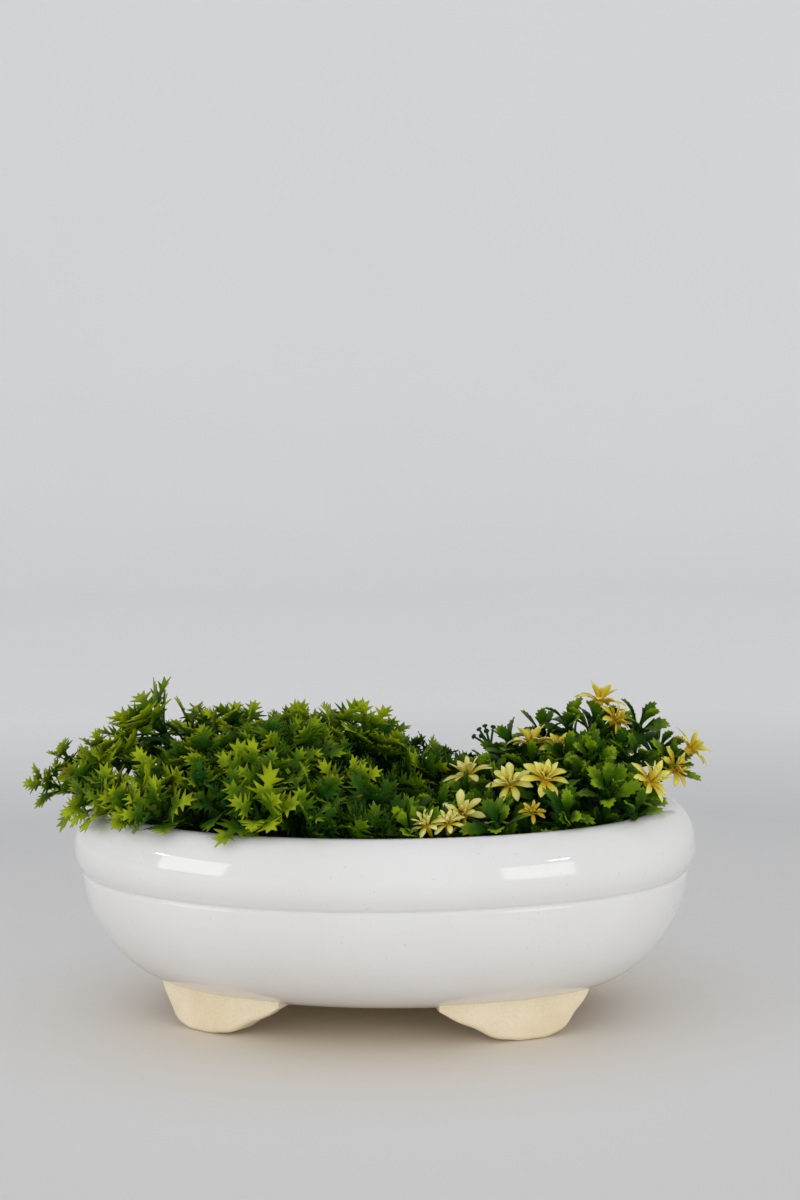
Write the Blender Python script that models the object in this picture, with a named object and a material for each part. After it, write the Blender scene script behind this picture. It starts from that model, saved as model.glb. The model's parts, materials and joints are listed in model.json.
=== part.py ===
"""Artificial bonsai-style greenery in a glazed oval planter.

The planter is one glazed bowl on four unglazed feet.  Two halves of dry floral foam fill it, each
small enough to go in under the rolled rim, and every sprig of plastic foliage is a separate pick
that pushes into its own hole in the foam.
Metres, +Z up.  The origin is on the table under the centre of the bowl, +X runs along the bowl's
length towards the flowering sprigs, and -Y is the front.
"""

import math

import bmesh
import bpy
from mathutils import Vector

MM = 0.001

# ---------------------------------------------------------------- driving dimensions, millimetres
FIT_GAP = 0.3            # clearance between pieces that touch or fit together

BOWL_LENGTH = 240.0      # over the widest part of the rim band
BOWL_DEPTH = 180.0
BASE_HEIGHT = 12.0       # underside of the bowl above the table
GROOVE_HEIGHT = 52.6     # lower lip of the crease under the rim band
BAND_HEIGHT = 26.7       # from that lip to the crest of the rim
WIDEST_BELOW_CREST = 15.8
FLANK_INSET = 3.2        # lower lip of the crease, inside the widest part
BASE_INSET = 40.0        # edge of the flat underside, inside the widest part
CREST_INSET = 10.5
LIP_INSET = 17.5         # edge of the mouth, inside the widest part
LIP_DROP = 4.5           # edge of the mouth below the crest
CREASE_WIDTH = 3.4
CREASE_INSET = 4.4
BAND_TUCK = 2.5          # lower edge of the band, inside the widest part
WALL = 7.0
FLOOR = 7.0
DRAIN_HOLE_DIAMETER = 16.0
DRAIN_HOLE_SPACING = 84.0

FOOT_DIRECTION = 48.5    # from the long axis to the middle of a foot, degrees
FOOT_ARC = 22.5          # half the angle that one foot covers round the bowl, degrees
FOOT_DEPTH = 24.0        # from a foot's outer face towards the middle
FOOT_TOP_INSET = 31.0    # top of a foot's outer face, inside the widest part
FOOT_TOE_INSET = 28.0    # toe of a foot, inside the widest part
FOOT_CONTACT = 0.22      # share of the arc that stands on the table
FOOT_END_THICKNESS = 2.0

FOAM_SIDE_GAP = 1.5      # between the foam and the bowl's inner wall
FOAM_SPLIT = 2.0         # where the foam is cut in two, along the length
FOAM_SPLIT_GAP = 0.6
FOAM_TOP_DROP = 16.3     # foam top below the crest of the rim

PICK_LENGTH = 26.0       # straight end of a sprig that is pushed into the foam
PICK_DIAMETER = 3.0
PICK_CLEARANCE = 0.5     # round a pick in its hole
PICK_POINT_LENGTH = 4.0
PICK_UPRIGHTNESS = 0.45  # sideways share of a stem's reach that its pick takes up
HOLE_END_CLEARANCE = 1.0
COLLAR_DIAMETER = 5.6    # stop that rests on the foam
COLLAR_THICKNESS = 1.6
STEM_TIP_DIAMETER = 2.2
SEAT_DIAMETER = 4.0      # cone on a stem under each whorl
SEAT_LENGTH = 1.6
PEG_LENGTH = 2.6         # end of a stem that stands up through its last whorl

HUB_DIAMETER = 6.4
LEAF_THICKNESS = 1.1
FERN_LENGTH = 17.0       # centre of a whorl to a leaf tip
SERRATE_LENGTH = 13.5
PETAL_LENGTH = 8.5
FLOWER_HUB_DIAMETER = 5.6
FLOWER_RISE = 9.0        # flower above the leaf whorl under it, along the stem
LOWER_WHORL_SCALE = 0.8

LEAVES_PER_WHORL = 5
PETALS_PER_FLOWER = 6

BOWL_SEGMENTS = 40
STEM_SIDES = 5
HOLE_SIDES = 8

# ---------------------------------------------------------------- sprigs, arranged by hand
# The tables are written for a bowl of LAYOUT_LENGTH by LAYOUT_DEPTH. In another bowl the feet of
# the stems spread with it, and each stem leans over the rim just as far.
LAYOUT_LENGTH = 240.0
LAYOUT_DEPTH = 180.0
LAYOUT_MARGIN = 38.0       # from the widest part in to the outer feet
# Name, tip of the stem (x, y, height above the foam), foot of the stem on the foam (x, y), place
# of the lower whorl as a share of the stem (0 for none), spin of the leaves in degrees.
FERN_SPRIGS = (
    ("far_left", (-113, -16, 21), (-82, -10), 0.0, 10),
    ("top_left", (-87, -1, 46), (-70, 0), 0.55, 40),
    ("top_middle", (-54, 10, 41), (-52, 8), 0.45, 0),
    ("top_right", (-21, 12, 41), (-28, 9), 0.55, 25),
    ("inner_right", (8, 12, 26), (-12, 8), 0.0, 60),
    ("front_right", (-7, -34, 26), (-22, -20), 0.0, 15),
    ("front_middle", (-42, -42, 30), (-44, -25), 0.55, 50),
    ("front_left", (-77, -37, 28), (-64, -22), 0.6, 30),
    ("rear_right", (-28, 46, 30), (-38, 30), 0.0, 5),
    ("rear_left", (-70, 40, 31), (-60, 26), 0.0, 20),
)
# The same without a lower whorl: each of these carries a leaf whorl and a flower.
FLOWER_SPRIGS = (
    ("tall", (82, 22, 51), (74, 14), 20),
    ("far_right", (116, 16, 34), (88, 8), 50),
    ("side_right", (103, -24, 28), (82, -14), 5),
    ("top_inner", (57, 11, 36), (58, 4), 35),
    ("front_middle", (66, -30, 29), (62, -18), 60),
    ("inner_left", (35, -6, 26), (39, -4), 5),
    ("front_left", (38, -46, 19), (42, -24), 45),
    ("rear_right", (84, 48, 32), (74, 32), 30),
)
# A stem that has lost its top leaves, so that its peg stands bare over the whorl below.
BARE_SPRIG = ("bare_peg", (38, 38, 33), (48, 24), 0.5, 25)

# ---------------------------------------------------------------- sizes worked out from those above
HALF_LENGTH = BOWL_LENGTH / 2
HALF_DEPTH = BOWL_DEPTH / 2
CREST_HEIGHT = GROOVE_HEIGHT + BAND_HEIGHT
WIDEST_HEIGHT = CREST_HEIGHT - WIDEST_BELOW_CREST
LIP_HEIGHT = CREST_HEIGHT - LIP_DROP
FOAM_TOP = CREST_HEIGHT - FOAM_TOP_DROP
FLOOR_TOP = BASE_HEIGHT + FLOOR
PICK_RADIUS = PICK_DIAMETER / 2
COLLAR_RADIUS = COLLAR_DIAMETER / 2
TIP_RADIUS = STEM_TIP_DIAMETER / 2
SEAT_RADIUS = SEAT_DIAMETER / 2

FLANK_STEPS = (1.0, 0.985, 0.94, 0.85, 0.68, 0.4, 0.0)   # share of the way from crease to base
FLANK_POWER = 1.65
FLANK_ROOT = 0.54


# ---------------------------------------------------------------- helpers
def make_material(name, colour, roughness):
    """One plain Principled material."""
    material = bpy.data.materials.new(name)
    material.use_nodes = True
    shader = material.node_tree.nodes["Principled BSDF"]
    shader.inputs["Base Color"].default_value = (*colour, 1.0)
    shader.inputs["Roughness"].default_value = roughness
    shader.inputs["Metallic"].default_value = 0.0
    return material


def make_object(name, points, faces, material, origin=None):
    """A mesh object from points in millimetres; its origin is moved to `origin` if one is given."""
    origin = origin or Vector((0, 0, 0))
    mesh = bpy.data.meshes.new(name)
    mesh.from_pydata([(Vector(p) - origin) * MM for p in points], [], faces)
    tidy = bmesh.new()
    tidy.from_mesh(mesh)
    bmesh.ops.triangulate(tidy, faces=tidy.faces)
    bmesh.ops.recalc_face_normals(tidy, faces=tidy.faces)
    tidy.to_mesh(mesh)
    tidy.free()
    mesh.materials.append(material)
    thing = bpy.data.objects.new(name, mesh)
    thing.location = origin * MM
    bpy.context.collection.objects.link(thing)
    return thing


def hide_cutter(cutter):
    """Keep a Boolean cutter out of the model."""
    cutter.hide_render = True
    cutter.display_type = "WIRE"


def cut(target, cutter):
    """Take `cutter` away from `target` with a Boolean modifier."""
    hide_cutter(cutter)
    modifier = target.modifiers.new("cut_" + cutter.name, "BOOLEAN")
    modifier.operation = "DIFFERENCE"
    modifier.solver = "EXACT"
    modifier.object = cutter


def ring_solid(rings):
    """Points and faces of a solid through rings of equal length, closed by a face at each end."""
    points = [p for ring in rings for p in ring]
    sides = len(rings[0])
    faces = []
    for level in range(len(rings) - 1):
        for i in range(sides):
            j = (i + 1) % sides
            low = level * sides
            high = low + sides
            faces.append((low + i, low + j, high + j, high + i))
    faces.append(tuple(reversed(range(sides))))
    faces.append(tuple(range(len(points) - sides, len(points))))
    return points, faces


def oval(inset, height, segments=BOWL_SEGMENTS):
    """A level oval that lies `inset` inside the widest part of the bowl."""
    across = HALF_LENGTH - inset
    deep = HALF_DEPTH - inset
    turns = [2 * math.pi * i / segments for i in range(segments)]
    return [(across * math.cos(a), deep * math.sin(a), height) for a in turns]


# ---------------------------------------------------------------- planter
def flank_inset(share, top_inset, reach):
    """Inset of a flank that swells from its base edge (share 1) up to the crease (share 0)."""
    return top_inset + reach * (1 - (1 - share**FLANK_POWER) ** FLANK_ROOT)


def outer_flank():
    """Outside of the bowl from the flat underside up to the crease, as (inset, height)."""
    reach = BASE_INSET - FLANK_INSET
    rise = GROOVE_HEIGHT - BASE_HEIGHT
    return [
        (flank_inset(share, FLANK_INSET, reach), GROOVE_HEIGHT - share * rise)
        for share in FLANK_STEPS
    ]


def inner_flank():
    """Inside of the bowl from the flat floor up to the height of the crease."""
    reach = BASE_INSET - FLANK_INSET
    rise = GROOVE_HEIGHT - FLOOR_TOP
    return [
        (flank_inset(share, FLANK_INSET + WALL, reach), GROOVE_HEIGHT - share * rise)
        for share in FLANK_STEPS
    ]


def rim_band():
    """Crease, rim band, crest and mouth, from the outside to the inside."""
    band_foot = GROOVE_HEIGHT + CREASE_WIDTH
    profile = [(CREASE_INSET, GROOVE_HEIGHT + CREASE_WIDTH / 2)]
    for share in (1.0, 0.6):
        height = WIDEST_HEIGHT - share * (WIDEST_HEIGHT - band_foot)
        profile.append((BAND_TUCK * share**2, height))
    for degrees in (0, 25, 48, 70):
        turn = math.radians(degrees)
        inset = CREST_INSET * (1 - math.cos(turn))
        profile.append((inset, WIDEST_HEIGHT + WIDEST_BELOW_CREST * math.sin(turn)))
    for degrees in (90, 40, 0):
        turn = math.radians(degrees)
        inset = CREST_INSET + (LIP_INSET - CREST_INSET) * math.cos(turn)
        profile.append((inset, LIP_HEIGHT + LIP_DROP * math.sin(turn)))
    profile.append((LIP_INSET - 0.25 * WALL, LIP_HEIGHT - 0.5 * WALL))
    profile.append((FLANK_INSET + WALL, WIDEST_HEIGHT + 0.2 * WALL))
    return profile


def build_bowl(material):
    """Glazed bowl with two drain holes in its floor."""
    profile = outer_flank() + rim_band() + list(reversed(inner_flank()))
    points, faces = ring_solid([oval(inset, height) for inset, height in profile])
    bowl = make_object("bowl", points, faces, material)
    for side, word in ((-1, "left"), (1, "right")):
        middle = FLOOR_TOP - FLOOR / 2
        rings = []
        for height in (middle - FLOOR, middle + FLOOR):
            ring = []
            for i in range(2 * HOLE_SIDES):
                turn = math.pi * i / HOLE_SIDES
                x = side * DRAIN_HOLE_SPACING / 2 + DRAIN_HOLE_DIAMETER / 2 * math.cos(turn)
                ring.append((x, DRAIN_HOLE_DIAMETER / 2 * math.sin(turn), height))
            rings.append(ring)
        points, faces = ring_solid(rings)
        cut(bowl, make_object("drain_cutter_" + word, points, faces, material))
    return bowl


def foot_underside(share):
    """Height of a foot's lower edge; share runs from -1 to 1 along the foot."""
    ceiling = BASE_HEIGHT - FIT_GAP - FOOT_END_THICKNESS
    off_table = max(0.0, abs(share) - FOOT_CONTACT) / (1 - FOOT_CONTACT)
    return ceiling * off_table**1.5


def build_foot(name, side_x, side_y, material):
    """One clay foot: a curved wedge that follows the bowl's edge and stands on a flat toe."""
    top = BASE_HEIGHT - FIT_GAP
    rings = []
    for share in (-1, -0.78, -0.5, -FOOT_CONTACT, 0, FOOT_CONTACT, 0.5, 0.78, 1):
        turn = math.radians(FOOT_DIRECTION + share * FOOT_ARC)
        low = foot_underside(share)
        drop = (top - low) / top
        toe = FOOT_TOP_INSET + (FOOT_TOE_INSET - FOOT_TOP_INSET) * drop
        depth = FOOT_DEPTH * (0.55 + 0.45 * math.cos(share * math.pi / 2))
        heel = toe + 0.6 * depth
        section = ((FOOT_TOP_INSET, top), (toe, low), (heel, low), (FOOT_TOP_INSET + depth, top))
        ring = []
        for inset, height in section:
            x = side_x * (HALF_LENGTH - inset) * math.cos(turn)
            y = side_y * (HALF_DEPTH - inset) * math.sin(turn)
            ring.append((x, y, height))
        rings.append(ring)
    points, faces = ring_solid(rings)
    return make_object(name, points, faces, material)


# ---------------------------------------------------------------- paths of the sprigs
class StemPath:
    """A straight pick and the curved stem above it; lengths run from the foam's top face."""

    STEPS = 24

    def __init__(self, tip, foot):
        along = (HALF_LENGTH - LAYOUT_MARGIN) / (LAYOUT_LENGTH / 2 - LAYOUT_MARGIN)
        across = (HALF_DEPTH - LAYOUT_MARGIN) / (LAYOUT_DEPTH / 2 - LAYOUT_MARGIN)
        self.foot = Vector((foot[0] * along, foot[1] * across, FOAM_TOP))
        self.tip = self.foot + Vector((tip[0] - foot[0], tip[1] - foot[1], tip[2]))
        reach = self.tip - self.foot
        self.pick = Vector((reach.x * PICK_UPRIGHTNESS, reach.y * PICK_UPRIGHTNESS, reach.z))
        self.pick.normalize()
        self.bend = self.foot + self.pick * (0.6 * reach.z / self.pick.z)
        self.points = [self.on_curve(i / self.STEPS) for i in range(self.STEPS + 1)]
        self.lengths = [0.0]
        for before, after in zip(self.points, self.points[1:]):
            self.lengths.append(self.lengths[-1] + (after - before).length)

    @property
    def length(self):
        return self.lengths[-1]

    def on_curve(self, t):
        return self.foot * (1 - t) ** 2 + self.bend * (2 * t * (1 - t)) + self.tip * t**2

    def share(self, length):
        """The curve's own parameter at a length along it."""
        for i in range(self.STEPS):
            if length <= self.lengths[i + 1]:
                part = (length - self.lengths[i]) / (self.lengths[i + 1] - self.lengths[i])
                return (i + part) / self.STEPS
        return 1.0

    def direction(self, length):
        if length <= 0:
            return self.pick
        t = self.share(length)
        way = (self.bend - self.foot) * (1 - t) + (self.tip - self.bend) * t
        return way.normalized()

    def point(self, length):
        if length <= 0:
            return self.foot + self.pick * length
        over = max(0.0, length - self.length)
        return self.on_curve(self.share(length)) + self.direction(length) * over


def cross_axes(direction):
    """Two unit vectors across a direction, the first as level as it can be."""
    level = Vector((0, 0, 1)).cross(direction)
    if level.length < 1e-4:
        level = Vector((1, 0, 0))
    level.normalize()
    return level, direction.cross(level)


def stem_radius(path, length):
    """A stem tapers from its pick's thickness to its tip's."""
    share = min(1.0, max(0.0, length / path.length))
    return PICK_RADIUS + (TIP_RADIUS - PICK_RADIUS) * share


def collar_start(path):
    """Where the collar begins, so that its low side still clears the foam."""
    lean = math.acos(min(1.0, path.pick.z))
    return (COLLAR_RADIUS * math.sin(lean) + FIT_GAP) / math.cos(lean)


def build_stem(name, path, seats, material):
    """Pick, collar, curved stem and a seat under each whorl, as one solid."""
    start = collar_start(path)
    stations = [
        (-PICK_LENGTH, 0.3 * PICK_RADIUS),
        (-PICK_LENGTH + PICK_POINT_LENGTH, PICK_RADIUS),
        (start, PICK_RADIUS),
        (start, COLLAR_RADIUS),
        (start + COLLAR_THICKNESS, PICK_RADIUS),
    ]
    last = stations[-1][0]
    for seat in seats:
        run = seat - SEAT_LENGTH - last
        for share in (1 / 3, 2 / 3, 1) if run > 2 * SEAT_LENGTH else (1,):
            here = last + run * share
            stations.append((here, stem_radius(path, here)))
        stations.append((seat, SEAT_RADIUS))
        stations.append((seat, stem_radius(path, seat)))
        last = seat
    stations.append((last + PEG_LENGTH, TIP_RADIUS))
    rings = []
    for length, radius in stations:
        middle = path.point(length)
        level, other = cross_axes(path.direction(length))
        ring = []
        for i in range(STEM_SIDES):
            turn = 2 * math.pi * i / STEM_SIDES
            ring.append(middle + (level * math.cos(turn) + other * math.sin(turn)) * radius)
        rings.append(ring)
    points, faces = ring_solid(rings)
    return make_object(name, points, faces, material, origin=path.foot)


# ---------------------------------------------------------------- leaves and flowers
def whorl_mesh(count, hub_radius, bore_radius, stations, tip):
    """A hub with `count` leaves, cupped about +Z.

    Each station is (distance from the centre, half width, height of the edge, height of the rib).
    """
    points = []
    faces = []
    spread = math.pi / count

    def add(radius, angle, height, aside=0.0):
        x = radius * math.cos(angle) - aside * math.sin(angle)
        y = radius * math.sin(angle) + aside * math.cos(angle)
        points.append((x, y, height))
        return len(points) - 1

    bore = [add(bore_radius, spread * i, 0) for i in range(2 * count)]
    hub = [add(hub_radius, spread * i, 0) for i in range(2 * count)]
    for leaf in range(count):
        middle = 2 * leaf
        before = (middle - 1) % (2 * count)
        after = (middle + 1) % (2 * count)
        angle = spread * middle
        faces.append((bore[before], hub[before], hub[middle], bore[middle]))
        faces.append((bore[middle], hub[middle], hub[after], bore[after]))
        low, rib, high = hub[before], hub[middle], hub[after]
        for radius, half_width, edge_height, rib_height in stations:
            next_low = add(radius, angle, edge_height, -half_width)
            next_rib = add(radius, angle, rib_height)
            next_high = add(radius, angle, edge_height, half_width)
            faces.append((low, next_low, next_rib, rib))
            faces.append((rib, next_rib, next_high, high))
            low, rib, high = next_low, next_rib, next_high
        point = add(tip[0], angle, tip[1])
        faces.append((low, point, rib))
        faces.append((rib, point, high))
    return points, faces


def thicken(points, faces, thickness):
    """Close an open sheet into a solid by copying it downwards and walling its edges."""
    count = len(points)
    solid_points = points + [(x, y, z - thickness) for x, y, z in points]
    solid_faces = list(faces)
    solid_faces += [tuple(i + count for i in reversed(face)) for face in faces]
    edges = {}
    for face in faces:
        for a, b in zip(face, face[1:] + face[:1]):
            edges[(a, b)] = True
    for a, b in edges:
        if (b, a) not in edges:
            solid_faces.append((b, a, a + count, b + count))
    return solid_points, solid_faces


def fern_stations(length):
    """A leaf with two side lobes and a longer middle one."""
    return (
        (0.40 * length, 0.10 * length, 0.10 * length, 0.06 * length),
        (0.66 * length, 0.30 * length, 0.26 * length, 0.20 * length),
        (0.72 * length, 0.13 * length, 0.27 * length, 0.23 * length),
    ), (length, 0.30 * length)


def serrate_stations(length):
    """A leaf that widens towards a blunt tip."""
    return (
        (0.50 * length, 0.14 * length, 0.17 * length, 0.12 * length),
        (0.80 * length, 0.26 * length, 0.30 * length, 0.25 * length),
    ), (length, 0.28 * length)


def petal_stations(length):
    """A narrow pointed petal."""
    return ((0.62 * length, 0.20 * length, 0.24 * length, 0.18 * length),), (length, 0.30 * length)


def build_whorl(name, path, seat, spin, outline, count, hub_diameter, material):
    """A whorl of leaves or petals threaded on its stem, resting just above its seat."""
    thickness = LEAF_THICKNESS
    bore = (stem_radius(path, seat) + FIT_GAP) / math.cos(math.pi / (2 * count))
    stations, tip = outline
    points, faces = whorl_mesh(count, hub_diameter / 2, bore, stations, tip)
    points, faces = thicken(points, faces, thickness)
    lift = seat + FIT_GAP + thickness
    middle = path.point(lift)
    axis = path.direction(lift)
    level, other = cross_axes(axis)
    turn = math.radians(spin)
    side = level * math.cos(turn) + other * math.sin(turn)
    across = axis.cross(side)
    placed = [middle + side * x + across * y + axis * z for x, y, z in points]
    return make_object(name, placed, faces, material, origin=path.foot)


def build_sprigs(materials):
    """Every sprig of both clumps; returns the paths, whose picks need holes in the foam."""
    paths = []
    for name, tip, foot, lower, spin in FERN_SPRIGS + (BARE_SPRIG,):
        path = StemPath(tip, foot)
        paths.append(path)
        bare = name == BARE_SPRIG[0]
        kind = "flower" if bare else "fern"
        outline = serrate_stations if bare else fern_stations
        length = SERRATE_LENGTH if bare else FERN_LENGTH
        leaves = materials["serrate"] if bare else materials["fern"]
        seats = []
        if lower:
            seats.append(lower * path.length)
            build_whorl(
                f"{kind}_{name}_lower_leaves", path, seats[-1], spin + 36,
                outline(length * (1 if bare else LOWER_WHORL_SCALE)),
                LEAVES_PER_WHORL, HUB_DIAMETER, leaves,
            )
        seats.append(path.length)
        if not bare:
            build_whorl(
                f"{kind}_{name}_leaves", path, seats[-1], spin, outline(length),
                LEAVES_PER_WHORL, HUB_DIAMETER, leaves,
            )
        build_stem(f"{kind}_{name}_stem", path, seats, materials["stem"])
    for name, tip, foot, spin in FLOWER_SPRIGS:
        path = StemPath(tip, foot)
        paths.append(path)
        seats = (path.length - FLOWER_RISE, path.length)
        build_whorl(
            f"flower_{name}_leaves", path, seats[0], spin, serrate_stations(SERRATE_LENGTH),
            LEAVES_PER_WHORL, HUB_DIAMETER, materials["serrate"],
        )
        build_whorl(
            f"flower_{name}_petals", path, seats[1], spin + 18, petal_stations(PETAL_LENGTH),
            PETALS_PER_FLOWER, FLOWER_HUB_DIAMETER, materials["petal"],
        )
        build_stem(f"flower_{name}_stem", path, seats, materials["stem"])
    return paths


# ---------------------------------------------------------------- foam
def foam_profile():
    """The foam follows the bowl's floor and wall, and ends under the rolled rim."""
    wall = [(inset + FOAM_SIDE_GAP, height + FIT_GAP) for inset, height in inner_flank()]
    return wall + [(wall[-1][0], FOAM_TOP)]


def build_pick_holes(name, paths, material):
    """One cutter with a round hole for each pick."""
    radius = PICK_RADIUS + PICK_CLEARANCE
    holes = []
    hole_faces = []
    for path in paths:
        level, other = cross_axes(path.pick)
        rings = []
        for length in (-PICK_LENGTH - HOLE_END_CLEARANCE, COLLAR_DIAMETER):
            ring = []
            for i in range(HOLE_SIDES):
                turn = 2 * math.pi * i / HOLE_SIDES
                aside = (level * math.cos(turn) + other * math.sin(turn)) * radius
                ring.append(path.foot + path.pick * length + aside)
            rings.append(ring)
        points, faces = ring_solid(rings)
        hole_faces += [tuple(i + len(holes) for i in face) for face in faces]
        holes += points
    return make_object(name, holes, hole_faces, material)


def build_foam_half(side, word, paths, material):
    """Half of the foam, with a hole for each pick whose foot stands on it."""
    cut_face = FOAM_SPLIT + side * FOAM_SPLIT_GAP / 2
    keep = min if side < 0 else max
    rings = [
        [(keep(x, cut_face), y, z) for x, y, z in oval(inset, height)]
        for inset, height in foam_profile()
    ]
    points, faces = ring_solid(rings)
    foam = make_object("floral_foam_" + word, points, faces, material)
    mine = [path for path in paths if side * (path.foot.x - FOAM_SPLIT) > 0]
    cut(foam, build_pick_holes("pick_holes_" + word, mine, material))


# ---------------------------------------------------------------- the whole part
def main():
    for thing in list(bpy.data.objects):
        bpy.data.objects.remove(thing)
    materials = {
        "glaze": make_material("white_glaze", (0.78, 0.76, 0.73), 0.12),
        "bisque": make_material("bare_clay", (0.72, 0.62, 0.45), 0.8),
        "foam": make_material("dry_foam", (0.16, 0.25, 0.12), 0.95),
        "stem": make_material("stem_plastic", (0.10, 0.22, 0.06), 0.45),
        "fern": make_material("fern_plastic", (0.22, 0.42, 0.08), 0.4),
        "serrate": make_material("serrate_plastic", (0.14, 0.33, 0.08), 0.4),
        "petal": make_material("petal_plastic", (0.90, 0.80, 0.35), 0.45),
    }
    build_bowl(materials["glaze"])
    for word_y, side_y in (("front", -1), ("rear", 1)):
        for word_x, side_x in (("left", -1), ("right", 1)):
            build_foot(f"foot_{word_y}_{word_x}", side_x, side_y, materials["bisque"])
    paths = build_sprigs(materials)
    build_foam_half(-1, "left", paths, materials["foam"])
    build_foam_half(1, "right", paths, materials["foam"])


main()
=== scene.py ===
"""Looks of the artificial greenery in a glazed oval planter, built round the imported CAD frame."""
import json
import math
import random

import bpy
from mathutils import Matrix, Vector, noise


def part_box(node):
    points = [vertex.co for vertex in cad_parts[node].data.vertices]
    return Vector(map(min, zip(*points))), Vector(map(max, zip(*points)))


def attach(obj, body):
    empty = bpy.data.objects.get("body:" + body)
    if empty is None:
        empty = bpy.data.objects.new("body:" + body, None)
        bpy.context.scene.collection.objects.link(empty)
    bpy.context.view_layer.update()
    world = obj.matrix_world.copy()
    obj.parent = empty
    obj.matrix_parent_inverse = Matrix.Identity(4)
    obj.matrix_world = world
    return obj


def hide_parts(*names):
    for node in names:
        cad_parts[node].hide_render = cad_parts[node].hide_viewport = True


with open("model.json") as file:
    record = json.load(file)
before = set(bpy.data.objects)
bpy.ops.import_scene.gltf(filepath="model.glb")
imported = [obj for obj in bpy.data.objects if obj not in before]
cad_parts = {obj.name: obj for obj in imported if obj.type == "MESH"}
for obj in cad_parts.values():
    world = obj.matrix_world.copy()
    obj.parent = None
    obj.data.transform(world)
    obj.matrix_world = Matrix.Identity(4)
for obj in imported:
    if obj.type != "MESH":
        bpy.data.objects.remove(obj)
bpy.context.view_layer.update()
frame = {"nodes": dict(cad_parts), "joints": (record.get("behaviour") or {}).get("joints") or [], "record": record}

MM = 0.001

# ---------------------------------------------------------------- places taken from the frame, mm
BOWL_LOW, BOWL_HIGH = (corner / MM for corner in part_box("bowl"))
HALF_LENGTH = (BOWL_HIGH.x - BOWL_LOW.x) / 2
HALF_DEPTH = (BOWL_HIGH.y - BOWL_LOW.y) / 2
BASE = BOWL_LOW.z
CREST = BOWL_HIGH.z
FOAM_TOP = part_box("floral_foam_left")[1].z / MM
BODIES = {joint["child"]: Vector(joint["axis"]).normalized() for joint in frame["joints"]}

# ---------------------------------------------------------------- bowl, mm: the CAD bowl's sizes
CREASE = CREST - 26.7        # lower lip of the crease under the rim band
WIDEST = CREST - 15.8
LIP = CREST - 4.5            # edge of the mouth
# Insets are measured inwards from the bowl's widest outline.
FLANK_INSET = 3.2            # lower lip of the crease
BASE_INSET = 40.0            # edge of the flat underside
CREST_INSET = 10.5
LIP_INSET = 17.5
CREASE_WIDTH = 3.4
CREASE_DEPTH = 0.6           # softened by glaze, so shallower than the CAD bowl's
BAND_TUCK = 2.5              # lower edge of the rim band
WALL = 7.0
FLOOR = 7.0
FLANK_POWER = 1.65           # the flank is a superellipse with these two exponents
FLANK_ROOT = 0.54
DRAIN_RADIUS = 8.0
DRAIN_PLACE = 42.0           # from the bowl's middle, along its length
BOWL_SEGMENTS = 160
UNEVEN_OUTLINE = 0.5         # how far the outline wanders inwards, by hand throwing
UNEVEN_HEIGHT = 0.7
UNEVEN_START = 12.0          # it begins this far above the underside, clear of the feet
UNEVEN_GROWTH = 20.0         # and is full this much higher

# ---------------------------------------------------------------- feet: the CAD feet's sizes
FOOT_DIRECTION = 48.5        # from the long axis to the middle of a foot, degrees
FOOT_ARC = 22.5              # half the angle that one foot covers, degrees
FOOT_DEPTH = 24.0
FOOT_TOP_INSET = 31.0
FOOT_TOE_INSET = 28.0
FOOT_PROUD = 2.2             # how far the top of a foot stands out past its CAD line

# ---------------------------------------------------------------- sprigs, mm
PICK_LENGTH = 26.0
PICK_RADIUS = 1.5
TIP_RADIUS = 1.1
COLLAR_RADIUS = 2.8
SEAT_RADIUS = 2.0
WHORL_LIFT = 1.4             # middle of a whorl's hub above its seat
FERN_LEAF = 18.5
SERRATE_LEAF = 12.6
PETAL = 9.6
LEAF_THICKNESS = 0.32
PETAL_THICKNESS = 0.3
PETAL_FOLD = 0.35
PETAL_CURL = 1.1
TIP_PAST = 2.6               # how far a stem runs on past its tip point
CLEARANCE = 0.4              # between a leaf and the glazed rim
HUB_REACH = 3.4              # points of a CAD whorl nearer to its axis than this are its hub's

# Height of the foliage along the planter's length, (x, height), over the long axis.
FERN_CROWN = ((-118, 88), (-104, 100), (-84, 103), (-58, 104), (-28, 106), (-10, 101), (6, 94), (24, 85))
SERRATE_CROWN = ((16, 80), (34, 88), (50, 95), (66, 101), (84, 105), (102, 101), (114, 91))
FERN_EDGE = 24               # the fern clump ends here along the length, mm
SERRATE_EDGE = 19            # the flowering clump begins here
FERN_SHOOTS = 160            # places tried over the whole oval for the fern's side shoots
FERN_SPACING = 14.3          # least distance from there to a whorl or to a listed shoot
SERRATE_SHOOTS = 230
SERRATE_SPACING = 10.8
LOWER_LAYER = 12.0           # a second, sparser layer of shoots lies this far down, darker with painted shade
FLOWER_ROOM = 11.0           # no such shoot stands this near a flower, seen from above,
FLOWER_DROP = 9.0            # unless it is this far below it
FLOWER_BEHIND = 6.0          # or this far behind it
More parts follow.
